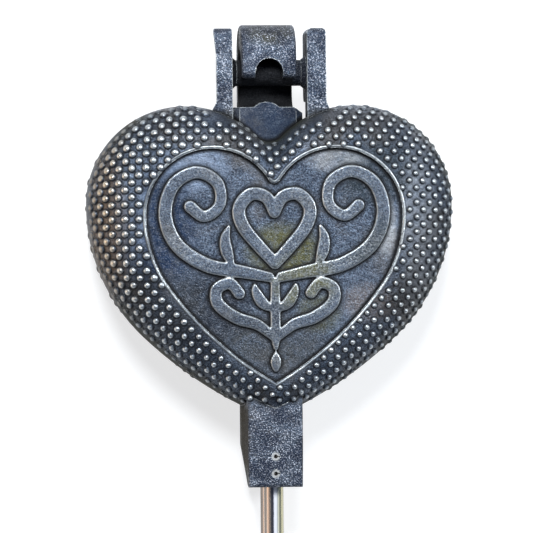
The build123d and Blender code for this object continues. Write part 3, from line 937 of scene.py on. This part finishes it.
def relief_top(tree, axes):
    """The flat tops are rubbed a little, and the edges round them more, so that they also carry a
    painted highlight.
    """
    rise = off_parting(tree, axes)
    place = object_place(tree)
    top = spread(tree, rise, panel_depth + 0.93 * relief_rise, panel_depth + 0.98 * relief_rise)
    edge = spread(tree, rise, panel_depth + 0.35 * relief_rise, panel_depth + 0.60 * relief_rise)
    edge = sums(tree, "SUBTRACT", edge, top, True)
    grit = spread(tree, noise(tree, place, 0.65 * mm, 3.0, 0.7), 0.42, 0.66, 0.02, 0.40)
    patchy = spread(tree, noise(tree, place, 12 * mm, 2.0), 0.35, 0.65, 0.55, 1.0)
    faint = spread(tree, noise(tree, place, 22 * mm, 2.0), 0.38, 0.62, 0.35, 0.85)
    top = times(tree, times(tree, top, grit), faint)
    return most(tree, top, times(tree, edge, patchy))


# Patches on the ornament: grease and green stains, and painted shade from the deep slate low on it.
relief_stains_and_shade = (
    (9, -24, 13, 12, 0.85, grease),
    (-4, -36, 12, 8, 0.6, deep_slate_tone_and_shade),
    (31, -12, 12, 12, 0.7, deep_green),
)
relief_iron = iron(
    "relief_casting",
    0.45 * mm,
    0.12 * mm,
    extra_worn_and_highlight=relief_top,
    patch_table=relief_stains_and_shade,
    rub_radius=0.9 * mm,
)
for half, turn_over in (("front", 1), ("rear", -1)):
    shape = bmesh.new()
    low = panel_depth - relief_sunk
    high = panel_depth + relief_rise
    for stroke, sides in (
        (heart_stroke, (1, -1)),
        (scroll_stroke, (1, -1)),
        (leaf_stroke, (1, -1)),
        (stem_stroke, (1,)),
        (low_scroll_stroke, (1, -1)),
        (sprig_stroke, (1, -1)),
        (drop_stroke, (1,)),
    ):
        for side in sides:
            stroke_blocks(shape, stroke, low, high, side)
    for vertex in shape.verts:
        vertex.co.z = parting_z + turn_over * vertex.co.z
    bmesh.ops.recalc_face_normals(shape, faces=shape.faces)
    mesh = bpy.data.meshes.new(half + "_strokes")
    shape.to_mesh(mesh)
    shape.free()
    strokes = link(bpy.data.objects.new(half + "_strokes", mesh))
    fuse = strokes.modifiers.new("fuse", "REMESH")
    fuse.mode = "VOXEL"
    fuse.voxel_size = relief_voxel
    soften = strokes.modifiers.new("soften", "SMOOTH")
    soften.factor = 0.5
    soften.iterations = 2
    ornament = plain_mesh(strokes, half + "_ornament")
    for face in ornament.data.polygons:
        face.use_smooth = True
    set_material(ornament, relief_iron)
    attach(ornament, half + "_arm")

# Rods.  Two lengths of quarter-inch bar, ground and plated bright, with fine draw lines.  Dark, straw
# and silver stripes run along the plate: painted reflections of the room.
rod_half_width = 3.3 * mm
painted_reflection_stripes = (
    (0.0, (0.16, 0.13, 0.11, 1)),
    (0.05, (0.42, 0.34, 0.29, 1)),
    (0.10, (0.17, 0.15, 0.15, 1)),
    (0.16, (0.19, 0.17, 0.16, 1)),
    (0.20, (0.62, 0.52, 0.44, 1)),
    (0.25, (0.14, 0.14, 0.15, 1)),
    (0.38, (0.13, 0.13, 0.17, 1)),
    (0.44, (0.84, 0.84, 0.90, 1)),
    (0.61, (0.88, 0.88, 0.90, 1)),
    (0.69, (0.42, 0.42, 0.41, 1)),
    (0.78, (0.74, 0.71, 0.52, 1)),
    (0.92, (0.62, 0.58, 0.38, 1)),
    (1.0, (0.34, 0.32, 0.24, 1)),
)


def stretched(tree, place, scale):
    return put(tree, "ShaderNodeMapping", {"Vector": place, "Scale": scale}).outputs[0]


chrome, tree, shader = new_material("rod_plate")
place = object_place(tree)
lines = noise(tree, stretched(tree, place, (1, 0.03, 1)), 0.35 * mm, 3.0, 0.6)
smears = noise(tree, place, 14 * mm, 4.0, 0.6)
wander = times(tree, sums(tree, "SUBTRACT", smears, 0.5), 0.7 * mm)
across = sums(tree, "ADD", split(tree, place)["X"], wander)
round_bar = spread(tree, across, -rod_half_width, rod_half_width)
reflection_stripes = put(tree, "ShaderNodeValToRGB", {0: round_bar})
ramp = reflection_stripes.color_ramp
ramp.elements[0].color = painted_reflection_stripes[0][1]
ramp.elements[1].color = painted_reflection_stripes[-1][1]
for level, tint in painted_reflection_stripes[1:-1]:
    ramp.elements.new(level).color = tint
tree.links.new(reflection_stripes.outputs["Color"], shader.inputs["Base Color"])
# In the pale stripe near the middle the plate is less metallic, so that the pale colour shows as a
# painted highlight.
highlight_band = times(tree, near_plane(tree, across, 0.5 * mm, 0.6 * mm, 1.1 * mm), 0.55)
tree.links.new(sums(tree, "SUBTRACT", 0.86, highlight_band), shader.inputs["Metallic"])
tree.links.new(spread(tree, lines, 0.3, 0.7, 0.10, 0.24), shader.inputs["Roughness"])
add_bump(tree, shader, lines, 0.01 * mm, 0.5)
for arm in ("rear", "front"):
    set_material(nodes[arm + "_rod"], chrome)

# Roll pins.  Slit tubes of spring steel, driven through socket and rod; the cross pins that
# hold the grips are plain wire of the same look.
steel_worn = (0.75, 0.74, 0.72, 1)


def steel(name, base, dull, rough_low, rough_high, grain_size, stretch, grime_and_shade=1.0):
    """Plain steel with rub lines along one direction and dull spots.  grime_and_shade is the share of
    the dark corner colour, dirt and painted shade, that its corners hold."""
    material, tree, shader = new_material(name)
    place = object_place(tree)
    lines = noise(tree, stretched(tree, place, stretch), grain_size, 3.0, 0.6)
    spots = noise(tree, place, 5 * mm, 5.0, 0.65)
    wear = use_group(tree, edge_wear_and_shade)
    color = blend_colors(tree, spread(tree, spots, 0.45, 0.68), base, dull)
    # Corners take the dark of soot and painted shade, by the grime_and_shade share.
    color = blend_colors(tree, times(tree, wear.outputs["Soot And Shade"], grime_and_shade), color, soot_and_shade_black)
    color = blend_colors(tree, wear.outputs["Worn"], color, steel_worn)
    tree.links.new(color, shader.inputs["Base Color"])
    shader.inputs["Metallic"].default_value = 1.0
    rough = spread(tree, lines, 0.3, 0.7, rough_low, rough_high)
    tree.links.new(rough, shader.inputs["Roughness"])
    add_bump(tree, shader, lines, 0.02 * mm, 0.6)
    return material


spring = steel(
    "spring_pin",
    base=(0.88, 0.87, 0.84, 1),
    dull=(0.62, 0.60, 0.57, 1),
    rough_low=0.28,
    rough_high=0.45,
    grain_size=0.3 * mm,
    stretch=(1, 1, 1),
    grime_and_shade=0.15,
)
for arm in ("rear", "front"):
    set_material(nodes[arm + "_roll_pin_1"], spring)
    set_material(nodes[arm + "_roll_pin_2"], spring)
    set_material(nodes[arm + "_handle_pin"], spring)

# Latch.  A strap of spring steel rolled round the lower rod, between two crimped collars.  Its
# finger swings over the upper rod, and the steel is dull from handling.
latch_steel = steel(
    "latch_strap",
    base=(0.55, 0.54, 0.52, 1),
    dull=(0.30, 0.28, 0.26, 1),
    rough_low=0.22,
    rough_high=0.40,
    grain_size=0.4 * mm,
    stretch=(1, 0.1, 1),
)
for name in ("latch_hook", "latch_collar_front", "latch_collar_back"):
    set_material(nodes[name], latch_steel)

# Ferrules.  Drawn steel cups round the front of each grip, plated and spun bright, with fine
# lines that run round them.
ferrule_steel = steel(
    "ferrule_cup",
    base=(0.66, 0.64, 0.60, 1),
    dull=(0.54, 0.52, 0.48, 1),
    rough_low=0.16,
    rough_high=0.32,
    grain_size=0.25 * mm,
    stretch=(0.1, 1, 0.1),
)
for arm in ("rear", "front"):
    set_material(nodes[arm + "_ferrule"], ferrule_steel)

# Grips.  Turned hardwood, stained and varnished, each held to its rod by a cross pin.  The wood
# shows growth rings, pores and the light rings that the turning tool left.
wood_early = (0.46, 0.20, 0.065, 1)
wood_late = (0.20, 0.072, 0.024, 1)
wood_blush = (0.30, 0.12, 0.04, 1)
wood_pore = (0.055, 0.022, 0.010, 1)
wood_grime_and_shade = (0.03, 0.014, 0.008, 1)
pith_shift = (0.021, 0, 0.006)
ring_pitch = 1.9 * mm
wood, tree, shader = new_material("turned_wood")
place = object_place(tree)
from_pith = put(tree, "ShaderNodeMapping", {"Vector": place, "Location": pith_shift}).outputs[0]
axes = split(tree, from_pith)
sway = noise(tree, stretched(tree, place, (1, 0.12, 1)), 12 * mm, 3.0)
ring_x = sums(tree, "POWER", axes["X"], 2.0)
ring_z = sums(tree, "POWER", axes["Z"], 2.0)
reach = sums(tree, "SQRT", sums(tree, "ADD", ring_x, ring_z))
reach = sums(tree, "ADD", reach, times(tree, sway, 3.5 * mm))
rings = sums(tree, "FRACT", times(tree, reach, 1 / ring_pitch))
late = spread(tree, rings, 0.45, 0.97)
pores = noise(tree, stretched(tree, place, (1, 0.05, 1)), 0.30 * mm, 3.0, 0.7)
pore_mask = spread(tree, pores, 0.60, 0.72)
blush = noise(tree, place, 30 * mm, 3.0)
color = blend_colors(tree, late, wood_early, wood_late)
color = blend_colors(tree, spread(tree, blush, 0.4, 0.7, 0.0, 0.5), color, wood_blush)
color = blend_colors(tree, times(tree, pore_mask, 0.7), color, wood_pore)
wear = use_group(tree, edge_wear_and_shade)
# Corners and creases darken with grime and painted shade.
color = blend_colors(tree, wear.outputs["Soot And Shade"], color, wood_grime_and_shade)
tree.links.new(color, shader.inputs["Base Color"])
shader.inputs["Coat Weight"].default_value = 0.5
shader.inputs["Coat Roughness"].default_value = 0.18
tree.links.new(spread(tree, pores, 0.3, 0.7, 0.38, 0.52), shader.inputs["Roughness"])
tool = noise(tree, stretched(tree, place, (0.02, 1, 0.02)), 0.7 * mm, 2.0)
height = sums(tree, "SUBTRACT", times(tree, tool, 0.5), pore_mask)
add_bump(tree, shader, height, 0.06 * mm, 0.7)
for arm in ("rear", "front"):
    set_material(nodes[arm + "_handle"], wood)

# Floor.  A pale sheet of paper under the iron.  It shows plain white to the camera and to metal,
# and keeps the shadow.
floor_reach = 4.0
sheet_dark = (0.40, 0.40, 0.40, 1)
sheet_pale = (0.42, 0.42, 0.42, 1)
sheet_glow = 0.68
floor_mesh = bpy.data.meshes.new("floor")
corners = [(-floor_reach, -floor_reach, 0), (floor_reach, -floor_reach, 0)]
corners += [(floor_reach, floor_reach, 0), (-floor_reach, floor_reach, 0)]
floor_mesh.from_pydata(corners, [], [(0, 1, 2, 3)])
floor = link(bpy.data.objects.new("floor", floor_mesh))
sheet, tree, shader = new_material("floor_sheet")
fibre = noise(tree, object_place(tree), 2 * mm, 3.0)
color = blend_colors(tree, fibre, sheet_dark, sheet_pale)
tree.links.new(color, shader.inputs["Base Color"])
shader.inputs["Roughness"].default_value = 0.9
seen = put(tree, "ShaderNodeLightPath").outputs
lit = most(tree, seen["Is Camera Ray"], seen["Is Glossy Ray"])
lit = most(tree, lit, seen["Is Transmission Ray"])
shader.inputs["Emission Color"].default_value = (1, 1, 1, 1)
tree.links.new(times(tree, lit, sheet_glow), shader.inputs["Emission Strength"])
set_material(floor, sheet)
floor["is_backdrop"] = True

# Light.  A broad window beyond the hinge, a weak warm lamp low at the left, a small cool one high
# at the right, and a weak cool sky all round.
world = bpy.data.worlds.new("studio")
bpy.context.scene.world = world
world.use_nodes = True
sky = world.node_tree.nodes["Background"]
sky.inputs["Color"].default_value = (0.62, 0.76, 1.0, 1)
sky.inputs["Strength"].default_value = 0.20


def area_lamp(name, spot, aim, size, power, color):
    data = bpy.data.lights.new(name, "AREA")
    data.shape = "DISK"
    data.size = size
    data.energy = power
    data.color = color
    lamp = link(bpy.data.objects.new(name, data))
    lamp.location = spot
    lamp.rotation_euler = (Vector(aim) - Vector(spot)).to_track_quat("-Z", "Y").to_euler()


heart_place = (0, heart_middle_y, parting_z)
area_lamp("window", (-0.28, 1.42, 1.90), heart_place, 0.72, 60, (0.93, 0.97, 1.0))
area_lamp("warm_side", (-1.0, 0.24, 0.26), heart_place, 0.6, 2.6, (1.0, 0.78, 0.58))
area_lamp("right_soft", (0.66, 0.50, 0.70), heart_place, 0.30, 5.5, (0.90, 0.95, 1.0))

# Camera.  It looks almost straight down at the heads from about 2 m, as the photograph does.
view_distance = 2.0
view_yaw = math.radians(5.74)
view_pitch = math.radians(0.58)
view_roll = math.radians(-0.57)
pixels_per_mm = 3.0881
picture_size = 533
aim_pixel = (269.3, 232.7)
aim_point = Vector((0, heart_middle_y - 8 * mm, parting_z))
back = Vector(
    (
        -math.sin(view_yaw) * math.cos(view_pitch),
        -math.sin(view_pitch),
        math.cos(view_yaw) * math.cos(view_pitch),
    )
)
right = Vector((math.cos(view_yaw), 0, math.sin(view_yaw)))
up = back.cross(right)
turned_right = math.cos(view_roll) * right + math.sin(view_roll) * up
turned_up = -math.sin(view_roll) * right + math.cos(view_roll) * up
camera_data = bpy.data.cameras.new("camera")
camera = link(bpy.data.objects.new("camera", camera_data))
stand = Matrix((turned_right, turned_up, back)).transposed().to_4x4()
camera.matrix_world = Matrix.Translation(aim_point + back * view_distance) @ stand

# The lens gives the heads their scale, and the shift puts the aim point on its pixel.
camera_data.sensor_width = 36
camera_data.lens = view_distance / mm * pixels_per_mm / picture_size * camera_data.sensor_width
camera_data.shift_x = (picture_size / 2 - aim_pixel[0]) / picture_size
camera_data.shift_y = (aim_pixel[1] - picture_size / 2) / picture_size
camera_data.clip_end = 20
bpy.context.scene.camera = camera
bpy.context.scene.view_settings.view_transform = "Standard"

low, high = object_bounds()
